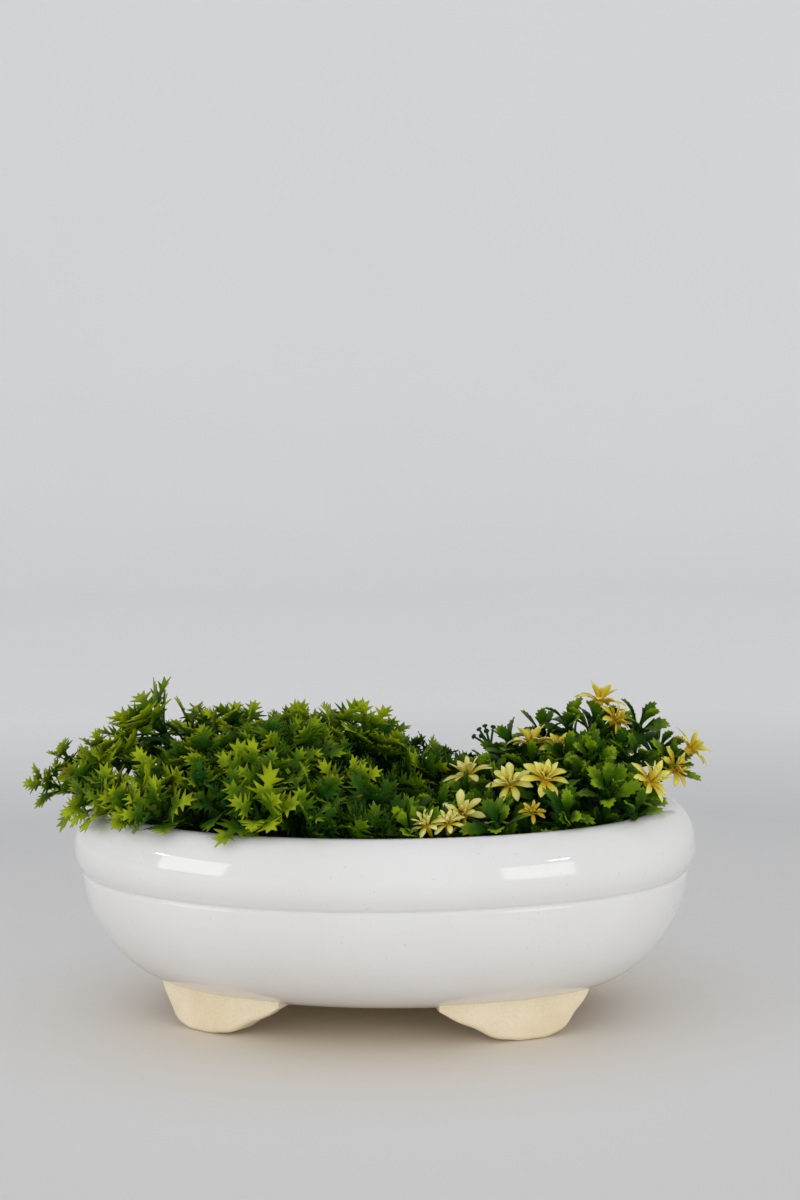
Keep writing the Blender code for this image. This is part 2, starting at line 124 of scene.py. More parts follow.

# Shoots listed one by one, where the clumps are not an even dome: sprig, hub, axis, size, shade.
# The shade column is a painted brightness: high on the top and front shoots as painted light, low on the inner
# ones as painted shade.
PLACED_SHOOTS = (
    ("fern_far_left", (-126, -21, 88), (-0.95, -0.2, 0.30), 0.66, 0.75),
    ("fern_far_left", (-120, -14, 97), (-0.60, 0.0, 0.90), 0.62, 0.75),
    ("fern_far_left", (-104, -27, 92), (-0.50, -0.4, 0.90), 1.00, 0.80),
    ("fern_far_left", (-104, -40, 85), (-0.70, -0.7, 0.45), 0.80, 0.95),
    ("fern_far_left", (-109, -6, 98), (-0.50, 0.1, 1.00), 0.75, 0.85),
    ("fern_far_left", (-100, -12, 94), (-0.30, -0.2, 1.00), 0.95, 0.85),
    ("fern_top_left", (-98, -2, 105), (-0.35, -0.1, 1.00), 0.90, 0.90),
    ("fern_top_left", (-76, 6, 105), (0.15, 0.1, 1.00), 1.00, 0.85),
    ("fern_top_middle", (-64, 8, 106), (0.10, -0.1, 1.00), 0.95, 0.80),
    ("fern_top_right", (-38, 18, 101), (-0.10, 0.1, 1.00), 0.95, 0.85),
    ("fern_top_right", (-9, 14, 102), (0.45, 0.0, 1.00), 1.00, 0.85),
    ("fern_inner_right", (2, 20, 93), (0.40, 0.1, 1.00), 0.95, 0.55),
    ("fern_inner_right", (17, 20, 86), (0.60, 0.0, 0.90), 0.90, 0.40),
    ("fern_front_middle", (-33, -70, 85), (0.10, -0.85, 0.55), 1.05, 0.80),
    ("fern_front_left", (-72, -62, 85), (-0.30, -0.8, 0.60), 1.00, 0.75),
    ("fern_front_left", (-84, -55, 85), (-0.35, -0.8, 0.65), 0.80, 0.80),
    ("fern_front_left", (-93, -48, 85), (-0.50, -0.7, 0.60), 0.75, 0.95),
    ("fern_far_left", (-100, -32, 87), (-0.60, -0.4, 0.70), 0.75, 0.85),
    ("flower_tall", (97, 26, 105), (0.30, 0.0, 1.00), 1.00, 0.60),
    ("flower_tall", (70, 22, 107), (-0.30, 0.0, 1.00), 0.95, 0.60),
    ("flower_tall", (82, 30, 104), (0.00, 0.3, 1.00), 0.95, 0.45),
    ("flower_far_right", (105, 24, 97), (0.40, 0.0, 1.00), 0.95, 0.50),
    ("flower_top_inner", (49, 17, 98), (-0.35, 0.0, 1.00), 1.00, 0.55),
    ("flower_top_inner", (60, 23, 103), (-0.10, 0.2, 1.00), 0.95, 0.50),
    ("flower_bare_peg", (46, 23, 92), (-0.35, -0.1, 1.00), 1.00, 0.40),
    ("flower_front_left", (21, -63, 79), (-0.20, -0.6, 0.80), 0.95, 0.70),
    ("flower_front_left", (51, -56, 80), (0.10, -0.6, 0.80), 1.00, 0.75),
    ("flower_front_middle", (75, -47, 82), (0.20, -0.6, 0.80), 1.00, 0.60),
    ("flower_side_right", (99, -37, 81), (0.50, -0.6, 0.60), 1.00, 0.85),
    ("flower_side_right", (93, -14, 90), (0.10, -0.4, 0.90), 1.00, 0.60),
)

# Flowers beside a sprig's own: sprig, hub, axis, size, paleness.
PLACED_FLOWERS = (
    ("flower_front_middle", (53, -26, 90), (-0.15, -0.65, 0.75), 0.95, 0.75),
    ("flower_top_inner", (67, 12, 98), (0.25, -0.45, 0.85), 0.85, 0.20),
    ("flower_front_left", (27, -62, 81), (-0.25, -0.45, 0.85), 0.75, 0.90),
    ("flower_front_left", (34, -59, 81), (0.05, -0.35, 0.95), 0.70, 0.80),
    ("flower_tall", (88, 20, 108), (0.75, -0.35, 0.55), 0.80, 0.05),
    ("flower_far_right", (111, 11, 91), (0.75, -0.50, 0.40), 0.85, 0.15),
    ("flower_front_middle", (63, -44, 83), (0.05, -0.55, 0.80), 0.50, 0.00),
)


# ================================================================ small tools
def new_object(name, points, faces, smooth=True):
    """A mesh object from points in millimetres, linked to the scene."""
    mesh = bpy.data.meshes.new(name)
    mesh.from_pydata([Vector(p) * MM for p in points], [], faces)
    mesh.validate()
    if smooth:
        mesh.shade_smooth()
    thing = bpy.data.objects.new(name, mesh)
    bpy.context.scene.collection.objects.link(thing)
    return thing


def ring_faces(rings, sides, close=True):
    """Quads between rings of equal length, with a face on each end if `close`."""
    faces = []
    for level in range(rings - 1):
        for i in range(sides):
            j = (i + 1) % sides
            low = level * sides
            high = low + sides
            faces.append((low + i, low + j, high + j, high + i))
    if close:
        faces.append(tuple(reversed(range(sides))))
        faces.append(tuple(range((rings - 1) * sides, rings * sides)))
    return faces


def blend_table(table, x):
    """Height read off a table of (x, height), straight between its rows."""
    if x <= table[0][0]:
        return table[0][1]
    for (x0, h0), (x1, h1) in zip(table, table[1:]):
        if x <= x1:
            return h0 + (h1 - h0) * (x - x0) / (x1 - x0)
    return table[-1][1]


def across(direction):
    """Two unit vectors across a direction, the first as level as it can be."""
    level = Vector((0, 0, 1)).cross(direction)
    if level.length < 1e-4:
        level = Vector((1, 0, 0))
    level.normalize()
    return level, direction.cross(level)


class Growth:
    """Collects many small closed solids into one piece, with two values on each point:
    how far along its leaf it is, and its tone: a stalk's set tone, a petal's paleness, and on leaves a random tone
    mixed with painted light and shade."""

    def __init__(self):
        self.points = []
        self.faces = []
        self.along = []
        self.tone_and_painted_shade = []

    def add(self, points, faces, along, tone_and_painted_shade):
        """Take in one closed solid; `along` is one value for it, or one for each point."""
        start = len(self.points)
        self.points += points
        self.faces += [tuple(start + i for i in face) for face in faces]
        self.along += along if isinstance(along, list) else [along] * len(points)
        self.tone_and_painted_shade += [tone_and_painted_shade] * len(points)

    def finish(self, name, body, kind, nodes=()):
        """Make the piece, in the material and slot called `kind`, riding on a body."""
        piece = new_object(name, self.points, self.faces)
        piece.data.materials.append(MATERIALS[kind])
        for word, values in (("along", self.along), ("tone_and_painted_shade", self.tone_and_painted_shade)):
            layer = piece.data.attributes.new(word, "FLOAT", "POINT")
            layer.data.foreach_set("value", values)
        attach(piece, body)
        if nodes:
            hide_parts(*nodes)


# ================================================================ materials
class Nodes:
    """A Principled material with short helpers for its node tree."""

    def __init__(self, name):
        self.material = bpy.data.materials.new(name)
        self.material.use_nodes = True
        self.tree = self.material.node_tree
        self.shader = self.tree.nodes["Principled BSDF"]

    def add(self, kind, **values):
        node = self.tree.nodes.new(kind)
        for key, value in values.items():
            if key in node.inputs.keys():
                node.inputs[key].default_value = value
            else:
                setattr(node, key, value)
        return node

    def link(self, source, target):
        self.tree.links.new(source, target)

    def place(self):
        return self.add("ShaderNodeTexCoord").outputs["Object"]

    def noise(self, scale, detail=2.0, roughness=0.5):
        node = self.add("ShaderNodeTexNoise", Scale=scale, Detail=detail, Roughness=roughness)
        self.link(self.place(), node.inputs["Vector"])
        return node.outputs["Fac"]

    def value(self, word):
        node = self.add("ShaderNodeAttribute", attribute_name=word)
        return node.outputs["Fac"]

    def ramp(self, factor, stops):
        node = self.add("ShaderNodeValToRGB")
        bar = node.color_ramp
        while len(bar.elements) < len(stops):
            bar.elements.new(0.5)
        for element, (place, colour) in zip(bar.elements, stops):
            element.position = place
            element.color = (*colour, 1.0)
        self.link(factor, node.inputs["Fac"])
        return node.outputs["Color"]

    def mix(self, factor, first, second, mode="MIX"):
        node = self.add("ShaderNodeMix", data_type="RGBA", blend_type=mode)
        colours = [s for s in node.inputs if s.type == "RGBA"]
        for socket, value in ((node.inputs["Factor"], factor), (colours[0], first), (colours[1], second)):
            if isinstance(value, (int, float)):
                socket.default_value = value
            elif isinstance(value, tuple):
                socket.default_value = (*value, 1.0)
            else:
                self.link(value, socket)
        return [s for s in node.outputs if s.type == "RGBA"][0]

    def total(self, first, second):
        node = self.add("ShaderNodeMath", operation="ADD")
        self.link(first, node.inputs[0])
        self.link(second, node.inputs[1])
        return node.outputs["Value"]

    def scaled(self, factor, low, high, start=0.0, end=1.0):
        node = self.add("ShaderNodeMapRange")
        for key, value in zip(("From Min", "From Max", "To Min", "To Max"), (start, end, low, high)):
            node.inputs[key].default_value = value
        self.link(factor, node.inputs["Value"])
        return node.outputs["Result"]

    def bump(self, height, strength, distance):
        node = self.add("ShaderNodeBump", Strength=strength, Distance=distance)
        self.link(height, node.inputs["Height"])
        self.link(node.outputs["Normal"], self.shader.inputs["Normal"])

    def colour(self, source):
        self.link(source, self.shader.inputs["Base Color"])

    def rough(self, source):
        self.link(source, self.shader.inputs["Roughness"])

    def set(self, **values):
        for key, value in values.items():
            self.shader.inputs[key.replace("_", " ")].default_value = value


def glaze_material():
    """White glaze: glossy, a shade warmer and greyer in slow patches, with faint pinholes."""
    n = Nodes("white_glaze")
    cloud = n.noise(14.0, 3.0, 0.5)
    base = n.ramp(cloud, ((0.3, (0.745, 0.735, 0.722)), (0.7, (0.80, 0.795, 0.785))))
    speck = n.ramp(n.noise(900.0, 1.0), ((0.0, (0, 0, 0)), (0.735, (0, 0, 0)), (0.78, (1, 1, 1))))
    n.colour(n.mix(n.scaled(speck, 0.0, 0.35), base, (0.46, 0.40, 0.30)))
    n.rough(n.scaled(n.noise(40.0, 2.0), 0.03, 0.08))
    n.bump(n.noise(55.0, 2.0, 0.4), 0.10, 0.0008)
    n.set(IOR=1.5, Coat_Weight=0.35, Coat_Roughness=0.03)
    return n.material


def clay_material():
    """Bare cream clay: matt, finely grained, darker where it was handled."""
    n = Nodes("bare_cream_clay")
    patches = n.ramp(
        n.noise(60.0, 4.0, 0.6), ((0.3, (0.80, 0.68, 0.47)), (0.7, (0.88, 0.79, 0.60)))
    )
    grain = n.ramp(n.noise(1400.0, 2.0, 0.7), ((0.35, (0.82, 0.77, 0.68)), (0.6, (1, 1, 1))))
    n.colour(n.mix(0.35, patches, grain, "MULTIPLY"))
    n.rough(n.scaled(n.noise(300.0, 3.0), 0.72, 0.92))
    n.bump(n.noise(1100.0, 4.0, 0.65), 0.25, 0.0003)
    n.set(Specular_IOR_Level=0.25)
    return n.material


def foam_material():
    """Dry floral foam: dark, matt and full of fine pores."""
    n = Nodes("dry_foam")
    pores = n.noise(700.0, 4.0, 0.7)
    n.colour(n.ramp(pores, ((0.35, (0.008, 0.012, 0.004)), (0.7, (0.040, 0.055, 0.022)))))
    n.rough(n.scaled(pores, 0.95, 0.85))
    n.bump(pores, 0.9, 0.0012)
    n.set(Specular_IOR_Level=0.1)
    return n.material


def leaf_material(name, stops, cool, warm):
    """Moulded leaf plastic: dark at the foot of a leaf, painted shade deep in the whorl, yellow-green at its tips.
    """
    n = Nodes(name)
    along = n.value("along")
    wander = n.scaled(n.noise(160.0, 3.0, 0.6), -0.14, 0.14, 0.3, 0.7)
    # On leaves, each leaf's tone shifts its ramp: a random spread plus painted light and shade from where the leaf
    # sits.
    shifted = n.total(n.total(along, wander), n.scaled(n.value("tone_and_painted_shade"), -0.36, 0.26))
    green = n.ramp(shifted, stops)
    green = n.mix(n.scaled(n.noise(48.0, 2.0), 0.0, 0.7, 0.52, 0.66), green, cool)
    blush = n.scaled(n.noise(95.0, 1.0), 0.0, 0.7, 0.66, 0.74)
    edge = n.mix(n.scaled(along, 0.0, 1.0, 0.75, 1.05), (0.0, 0.0, 0.0), blush)
    n.colour(n.mix(edge, green, warm))
    n.rough(n.scaled(n.noise(420.0, 2.0), 0.38, 0.56))
    n.bump(n.noise(900.0, 2.0), 0.16, 0.0003)
    n.set(Specular_IOR_Level=0.12)
    n.shader.inputs["Specular Tint"].default_value = (0.80, 1.0, 0.40, 1.0)
    return n.material


def petal_material():
    """Flower plastic: orange at the heart, golden, then pale cream at the tips."""
    n = Nodes("petal_plastic")
    place = n.total(n.value("along"), n.scaled(n.value("tone_and_painted_shade"), -0.50, 0.12))
    petal = n.ramp(
        place,
        (
            (0.0, (0.64, 0.42, 0.014)),
            (0.22, (0.70, 0.52, 0.022)),
            (0.50, (0.78, 0.71, 0.110)),
            (1.0, (0.84, 0.83, 0.34)),
        ),
    )
    vein = n.noise(330.0, 3.0, 0.6)
    n.colour(n.mix(n.scaled(vein, 0.0, 0.28, 0.4, 0.7), petal, (0.56, 0.46, 0.05)))
    n.rough(n.scaled(n.noise(500.0, 2.0), 0.46, 0.62))
    n.bump(n.noise(800.0, 2.0), 0.2, 0.0003)
    n.set(Specular_IOR_Level=0.25)
    return n.material


def stage_material():
    """Pale paper of the studio: painted warm bounce light close round the piece, then a ring of painted grey
    shade, then paler far behind.
    """
    n = Nodes("studio_paper")
    far = n.add("ShaderNodeVectorMath", operation="LENGTH")
    n.link(n.place(), far.inputs[0])
    # Painted light on the paper: a warm bounce from the clay under and round the piece, and a grey ring of shade a
    # stretch out.
    paper = n.ramp(
        n.scaled(far.outputs["Value"], 0.0, 1.0, 0.0, 3.0),
        (
            (0.0, (0.78, 0.64, 0.44)),
            (0.034, (0.77, 0.72, 0.66)),
            (0.055, (0.76, 0.755, 0.75)),
            (0.15, (0.66, 0.66, 0.66)),
            (0.30, (0.89, 0.89, 0.89)),
            (1.0, (0.90, 0.90, 0.90)),
        ),
    )
    n.colour(n.mix(n.scaled(n.noise(3.0, 2.0), 0.0, 0.10), paper, (0.66, 0.65, 0.64)))
    n.rough(n.scaled(n.noise(60.0, 2.0), 0.6, 0.7))
    return n.material


MATERIALS = {
    "glaze": glaze_material(),
    "clay": clay_material(),
    "foam": foam_material(),
    "stem": leaf_material(
        "stem_plastic",
        ((0.1, (0.010, 0.040, 0.005)), (0.6, (0.024, 0.085, 0.010)), (1.0, (0.060, 0.16, 0.016))),
        (0.012, 0.070, 0.020), (0.14, 0.12, 0.02),
    ),
    "fern": leaf_material(
        "fern_plastic",
        (
            (0.0, (0.004, 0.018, 0.0005)),
            (0.42, (0.020, 0.066, 0.001)),
            (0.72, (0.085, 0.165, 0.002)),
            (1.0, (0.340, 0.420, 0.008)),
        ),
        (0.012, 0.080, 0.008), (0.40, 0.19, 0.006),
    ),
    "serrate": leaf_material(
        "serrate_plastic",
        (
            (0.0, (0.003, 0.016, 0.0003)),
            (0.42, (0.015, 0.050, 0.0006)),
            (0.78, (0.055, 0.125, 0.001)),
            (1.0, (0.200, 0.310, 0.006)),
        ),
        (0.012, 0.072, 0.006), (0.36, 0.22, 0.008),
    ),
    "petal": petal_material(),
}


# ================================================================ planter
def flank_inset(share, top_inset):
    """Inset of a flank, from its top (share 0) to the underside (share 1)."""
    reach = BASE_INSET - FLANK_INSET
    return top_inset + reach * (1 - (1 - share**FLANK_POWER) ** FLANK_ROOT)


def bowl_profile():
    """(inset, height) round the bowl's section, from the underside over the rim to the floor."""
    steps = 26
    shares = [1 - (i / steps) ** 2.2 for i in range(steps + 1)]
    # The flank outside, and the crease.
    profile = [(flank_inset(s, FLANK_INSET), CREASE - s * (CREASE - BASE)) for s in shares[:-1]]
    profile += [(FLANK_INSET - 0.05, CREASE), (FLANK_INSET - 0.1, CREASE + 0.9)]
    profile += [(FLANK_INSET + 0.1, CREASE + 1.3), (FLANK_INSET + CREASE_DEPTH, CREASE + 1.8)]
    profile += [(FLANK_INSET + 0.3, CREASE + 2.3), (BAND_TUCK + 0.25, CREASE + 2.8)]
    # The rim band, up to the crest.
    for share in (0.98, 0.9, 0.78, 0.62, 0.45, 0.25, 0.1):
        profile.append((BAND_TUCK * share**2, WIDEST - share * (WIDEST - CREASE - CREASE_WIDTH)))
    for i in range(14):
        turn = math.radians(90 * i / 14)
        profile.append((CREST_INSET * (1 - math.cos(turn)), WIDEST + (CREST - WIDEST) * math.sin(turn)))
    # Over the crest into the mouth, and down the inside.
    for i in range(11):
        turn = math.radians(90 - 9 * i)
        inset = CREST_INSET + (LIP_INSET - CREST_INSET) * math.cos(turn)
        profile.append((inset, LIP + (CREST - LIP) * math.sin(turn)))
    for share in (0.25, 0.5, 0.75):
        turn = math.radians(90 * share)
        profile.append((LIP_INSET - 2.0 * (1 - math.cos(turn)), LIP - 4.0 * math.sin(turn)))
    profile += [(LIP_INSET - 4.0, LIP - 6.5), (FLANK_INSET + WALL, WIDEST - 1.0)]
    top = BASE + FLOOR
    for s in reversed(shares):
        profile.append((flank_inset(s, FLANK_INSET + WALL), CREASE - s * (CREASE - top)))
    return profile


def build_bowl():
    """The glazed bowl: slightly uneven above its feet, bare clay underneath."""
    profile = bowl_profile()
    points = []
    for inset, height in profile:
        lift = max(0.0, min(1.0, (height - BASE - UNEVEN_START) / UNEVEN_GROWTH))
        for i in range(BOWL_SEGMENTS):
            turn = 2 * math.pi * i / BOWL_SEGMENTS
            way = Vector((math.cos(turn), math.sin(turn), 0))
            uneven = noise.noise(way * 1.3 + Vector((0, 0, height * 0.012))) * UNEVEN_OUTLINE * lift
            rise = noise.noise(way * 1.1 + Vector((7, 3, 0))) * UNEVEN_HEIGHT * lift
            rise *= max(0.0, 1 - (height - CREASE) / (CREST - CREASE)) if height > CREASE else 1.0
            half_length = HALF_LENGTH - inset - abs(uneven)
            half_depth = HALF_DEPTH - inset - abs(uneven)
            points.append((half_length * way.x, half_depth * way.y, height + rise))
    bowl = new_object("glazed_bowl", points, ring_faces(len(profile), BOWL_SEGMENTS))
    bowl.data.materials.append(MATERIALS["glaze"])
    bowl.data.materials.append(MATERIALS["clay"])
    for side in (-1, 1):
        drill(bowl, side * DRAIN_PLACE)
    for face in bowl.data.polygons:
        height = face.center.z / MM
        on_underside = height < BASE + 0.4
        in_hole = height < BASE + FLOOR - 0.4 and in_drain(face.center)
        if on_underside or in_hole:
            face.material_index = 1
    bowl.data.set_sharp_from_angle(angle=math.radians(38))
    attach(bowl, "planter")
    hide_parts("bowl")


def in_drain(place):
    """Whether a point, in metres, lies on the wall of a drain hole."""
    return math.hypot(abs(place.x) / MM - DRAIN_PLACE, place.y / MM) < DRAIN_RADIUS + 0.3


def drill(bowl, x):
    """Cut one drain hole through the bowl's floor."""
    sides = 48
    points = []
    for height in (BASE - 3, BASE + FLOOR + 3):
        for i in range(sides):
            turn = 2 * math.pi * i / sides
            points.append((x + DRAIN_RADIUS * math.cos(turn), DRAIN_RADIUS * math.sin(turn), height))
    cutter = new_object("drill", points, ring_faces(2, sides), smooth=False)
    cut = bowl.modifiers.new("drain", "BOOLEAN")
    cut.operation = "DIFFERENCE"
    cut.solver = "EXACT"
    cut.object = cutter
    bpy.context.view_layer.update()
    solid = bowl.evaluated_get(bpy.context.evaluated_depsgraph_get())
    mesh = bpy.data.meshes.new_from_object(solid)
    bowl.modifiers.remove(cut)
    old = bowl.data
    bowl.data = mesh
    bpy.data.meshes.remove(old)
    bpy.data.objects.remove(cutter)


def flank_height(inset):
    """Height of the bowl's outside at an inset below the crease."""
    left = min(1.0, max(0.0, 1 - (inset - FLANK_INSET) / (BASE_INSET - FLANK_INSET)))
    share = (1 - left ** (1 / FLANK_ROOT)) ** (1 / FLANK_POWER)
    return CREASE - share * (CREASE - BASE)


def foot_underside(share):
    """Lower edge of a foot: a rounded toe whose shoulders rise to the bowl, the outer one higher."""
    start, top = (0.20, BASE + 3.4) if share < 0 else (0.08, BASE + 0.4)
    climb = max(0.0, (abs(share) - start) / (1 - start))
    rise = top * (1.5 * climb**2 - 0.5 * climb**3)
    scallop = 0.45 * math.sin(climb * 4.2 * math.pi) * math.sin(climb * math.pi)
    return max(0.0, rise + scallop)


def build_foot(word, side_x, side_y):
    """One clay foot, rounded at its toe, as a row of sections round the bowl."""
    stations = 40
    rings = []
    for i in range(stations + 1):
        share = -1 + 2 * i / stations
        turn = math.radians(FOOT_DIRECTION + share * FOOT_ARC)
        low = foot_underside(share)
        depth = FOOT_DEPTH * (0.5 + 0.5 * math.cos(share * math.pi / 2) ** 0.7)
        top = FOOT_TOP_INSET - FOOT_PROUD
        toe = top + (FOOT_TOE_INSET - FOOT_TOP_INSET + 1.2) * (1 - min(1.0, low / BASE))
        round_off = max(0.1, min(1.6, (BASE - low) * 0.3))
        under_flank = 0.5 * (top + BASE_INSET)
        # Down the outer face, along the underside, and back over the top where the bowl hides it.
        section = [
            (top, flank_height(top) + 0.25),
            (top + 0.1, max(low + 0.6, BASE * 0.85 + low * 0.15)),
            (toe + 0.2, low + round_off * 1.3),
            (toe + 0.5, low + round_off * 0.45),
            (toe + round_off, low + 0.02),
            (toe + 0.45 * depth, low),
            (toe + 0.55 * depth, low + round_off * 0.5),
            (toe + 0.72 * depth, low + 0.45 * max(0.0, BASE - low)),
            (toe + 0.92 * depth, BASE - 0.6),
            (toe + depth, BASE + 0.1),
            (BASE_INSET + 2, BASE + 0.1),
            (under_flank, flank_height(under_flank) + 0.2),
        ]
        wobble = 0.15 * noise.noise(Vector((share * 3, side_x * 5, side_y * 7)))
        ring = []
        for inset, height in section:
            x = side_x * (HALF_LENGTH - inset + wobble) * math.cos(turn)
            y = side_y * (HALF_DEPTH - inset + wobble) * math.sin(turn)
            ring.append((x, y, height))
        rings.append(ring)
    points = [p for ring in rings for p in ring]
    faces = ring_faces(len(rings), len(rings[0]))
    if side_x * side_y < 0:
        faces = [tuple(reversed(face)) for face in faces]
    foot = new_object("clay_foot_" + word, points, faces)
    foot.data.set_sharp_from_angle(angle=math.radians(50))
    foot.data.materials.append(MATERIALS["clay"])
    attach(foot, "planter")
    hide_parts("foot_" + word)


def oval_inset(x, y):
    """How far inside the bowl's widest outline a point lies, along matching ovals."""
    low, high = -60.0, HALF_DEPTH - 1.0
    for _ in range(24):
        middle = (low + high) / 2
        if (x / (HALF_LENGTH - middle)) ** 2 + (y / (HALF_DEPTH - middle)) ** 2 < 1:
            low = middle
        else:
            high = middle
    return low


def hits_bowl(point):
    """Whether a point lies in or too close to the rim, or down in the foam."""
    if point.z > CREST + CLEARANCE:
        return False
    inset = oval_inset(point.x, point.y)
    if inset < -CLEARANCE:
        return False
    if inset >= LIP_INSET + CLEARANCE:
        return point.z < FOAM_TOP + 0.5
    if inset < CREST_INSET:
        share = (CREST_INSET - max(0.0, inset)) / CREST_INSET
        top = WIDEST + (CREST - WIDEST) * math.sqrt(max(0.0, 1 - share**2))
    else:
        share = min(1.0, (inset - CREST_INSET) / (LIP_INSET - CREST_INSET))
        top = LIP + (CREST - LIP) * math.sqrt(1 - share**2)
    return point.z < top + CLEARANCE


# ================================================================ leaves
# Half outlines: (distance along, half width, where the rib is beside it), as shares of the length.
FERN_OUTLINE = (
    (0.00, 0.030, 0.00), (0.28, 0.040, 0.27), (0.38, 0.08, 0.34), (0.34, 0.27, 0.36),
    (0.44, 0.17, 0.39), (0.52, 0.43, 0.43), (0.51, 0.19, 0.47), (0.64, 0.31, 0.51),
    (0.56, 0.08, 0.55), (0.63, 0.075, 0.61), (0.75, 0.26, 0.67), (0.74, 0.10, 0.72),
    (0.90, 0.16, 0.79), (0.85, 0.045, 0.86),
)
SERRATE_OUTLINE = (
    (0.00, 0.040, 0.00), (0.20, 0.055, 0.19), (0.36, 0.095, 0.33), (0.49, 0.15, 0.45),
    (0.62, 0.215, 0.55), (0.62, 0.15, 0.61), (0.78, 0.205, 0.70), (0.78, 0.125, 0.77),
    (0.93, 0.14, 0.85), (0.91, 0.06, 0.91),
)
PETAL_OUTLINE = (
    (0.00, 0.06, 0.00), (0.22, 0.08, 0.22), (0.42, 0.125, 0.42), (0.60, 0.155, 0.60),
    (0.74, 0.15, 0.74), (0.88, 0.09, 0.88),
)


def leaf(outline, length, start, end, fold, curl, thickness, rng):
    """A closed thin leaf along +X, bending from `start` to `end` degrees above the level."""
    bend = math.radians(end - start) or 1e-4
    first = math.radians(start)

    def place(share, aside):
        turn = first + bend * share
        run = length * (math.sin(turn) - math.sin(first)) / bend
        rise = length * (math.cos(first) - math.cos(turn)) / bend
        out = Vector((run, 0, rise))
        up = Vector((-math.sin(turn), 0, math.cos(turn)))
        wide = abs(aside)
        lift = fold * wide - curl * wide**2
        return out + Vector((0, aside * length, 0)) + up * lift * length, up

    sway = rng.uniform(-0.10, 0.10)
    top = []
    ups = []
    along = []
    for share, half, rib in outline:
        for place_share, aside in ((share, -half), (rib, 0.0), (share, half)):
            jag = 1 + rng.uniform(-0.06, 0.06) if aside else 1.0
            point, up = place(place_share, aside * jag + sway * place_share**2)
            top.append(point)
            ups.append(up)
            along.append(place_share + 0.5 * abs(aside))
    point, up = place(1.0, sway)
    top.append(point)
    ups.append(up)
    along.append(1.05)
    faces = []
    rows = len(outline)
    for row in range(rows - 1):
        a = 3 * row
        b = a + 3
        faces.append((a, b, b + 1, a + 1))
        faces.append((a + 1, b + 1, b + 2, a + 2))
    last = 3 * (rows - 1)
    faces.append((last, last + 3, last + 1))
    faces.append((last + 1, last + 3, last + 2))
    count = len(top)
    points = top + [p - u * thickness for p, u in zip(top, ups)]
    edges = {(a, b) for face in faces for a, b in zip(face, face[1:] + face[:1])}
    solid = list(faces) + [tuple(i + count for i in reversed(face)) for face in faces]
    solid += [(b, a, a + count, b + count) for a, b in sorted(edges) if (b, a) not in edges]
    return points, solid, along + along


def frame_at(centre, axis, spin):
    """A matrix that stands local +Z on the axis at the centre."""
    level, other = across(axis)
    side = level * math.cos(spin) + other * math.sin(spin)
    deep = axis.cross(side)
    return Matrix((
        (side.x, deep.x, axis.x, centre.x),
        (side.y, deep.y, axis.y, centre.y),
        (side.z, deep.z, axis.z, centre.z),
        (0, 0, 0, 1),
    ))


def turned(profile, sides, matrix):
    """A small turned solid from (radius, height) rows, standing on a matrix."""
    points = []
    for radius, height in profile:
        for i in range(sides):
            turn = 2 * math.pi * i / sides
            points.append(matrix @ Vector((radius * math.cos(turn), radius * math.sin(turn), height)))
    return points, ring_faces(len(profile), sides)


LEAF_KINDS = {
    # outline, length, fold, curl, tiers of (depth below the top, leaves, size, start, end)
    "fern": (
        FERN_OUTLINE, FERN_LEAF, 0.42, 0.6, ((0.0, 3, 0.84, 78, 44), (5.0, 5, 1.02, 52, 10)),
    ),
    "serrate": (
        SERRATE_OUTLINE, SERRATE_LEAF, 0.45, 0.9, ((0.0, 3, 0.90, 82, 44), (4.0, 5, 1.14, 62, 2)),
    ),
}
HUB_PROFILE = ((0.75, -1.6), (1.3, -1.2), (1.75, 0.0), (1.5, 1.0), (0.8, 1.5), (0.2, 1.6))


def add_whorl(growth, kind, centre, axis, spin, size, shade, rng):
    """Two tiers of leaves round a hub; a leaf that would pass into the bowl is lifted or left out."""
    outline, length, fold, curl, tiers = LEAF_KINDS[kind]
    matrix = frame_at(centre, axis, spin)
    points, faces = turned(HUB_PROFILE, 8, matrix)
    growth.add(points, faces, 0.1, shade)
    for below, count, scale, start, end in tiers:
        first = rng.uniform(0, 2 * math.pi / count)
        for i in range(count):
            turn = first + 2 * math.pi * i / count + rng.uniform(-0.32, 0.32)
            long = length * size * scale * rng.uniform(0.84, 1.14)
            rise = start + rng.uniform(-20, 14)
            droop = end + rng.uniform(-26, 24)
            roll = rng.uniform(-0.65, 0.65)
            # A leaf's tone: the whorl's painted light and shade, with a random spread.
            tone_and_painted_shade = min(1.0, max(0.0, shade + rng.uniform(-0.28, 0.28)))
            for lift in (0, 22, 44):
                points, faces, along = leaf(
                    outline, long, rise + lift * 0.6, droop + lift, fold, curl, LEAF_THICKNESS, rng
                )
                spot = matrix @ Matrix.Rotation(turn, 4, "Z")
                spot = spot @ Matrix.Translation((0.8, 0, 0.3 - below)) @ Matrix.Rotation(roll, 4, "X")
                placed = [spot @ p for p in points]
                if not any(hits_bowl(p) for p in placed):
                    growth.add(placed, faces, along, tone_and_painted_shade)
                    break


TUBE_PROFILE = ((0.7, -6.0), (1.0, -4.5), (1.25, -2.0), (1.7, 0.2), (1.5, 1.0), (0.6, 1.3))
STAMEN_PROFILE = ((0.16, 0.5), (0.16, 3.2), (0.42, 3.4), (0.42, 4.2), (0.1, 4.4))
# petals, size, start, end, turned by a share of one petal, height
PETAL_ROWS = ((7, 1.0, 34, -34, 0.0, 0.4), (6, 0.82, 72, 34, 0.5, 0.9), (4, 0.55, 88, 66, 0.2, 1.1))


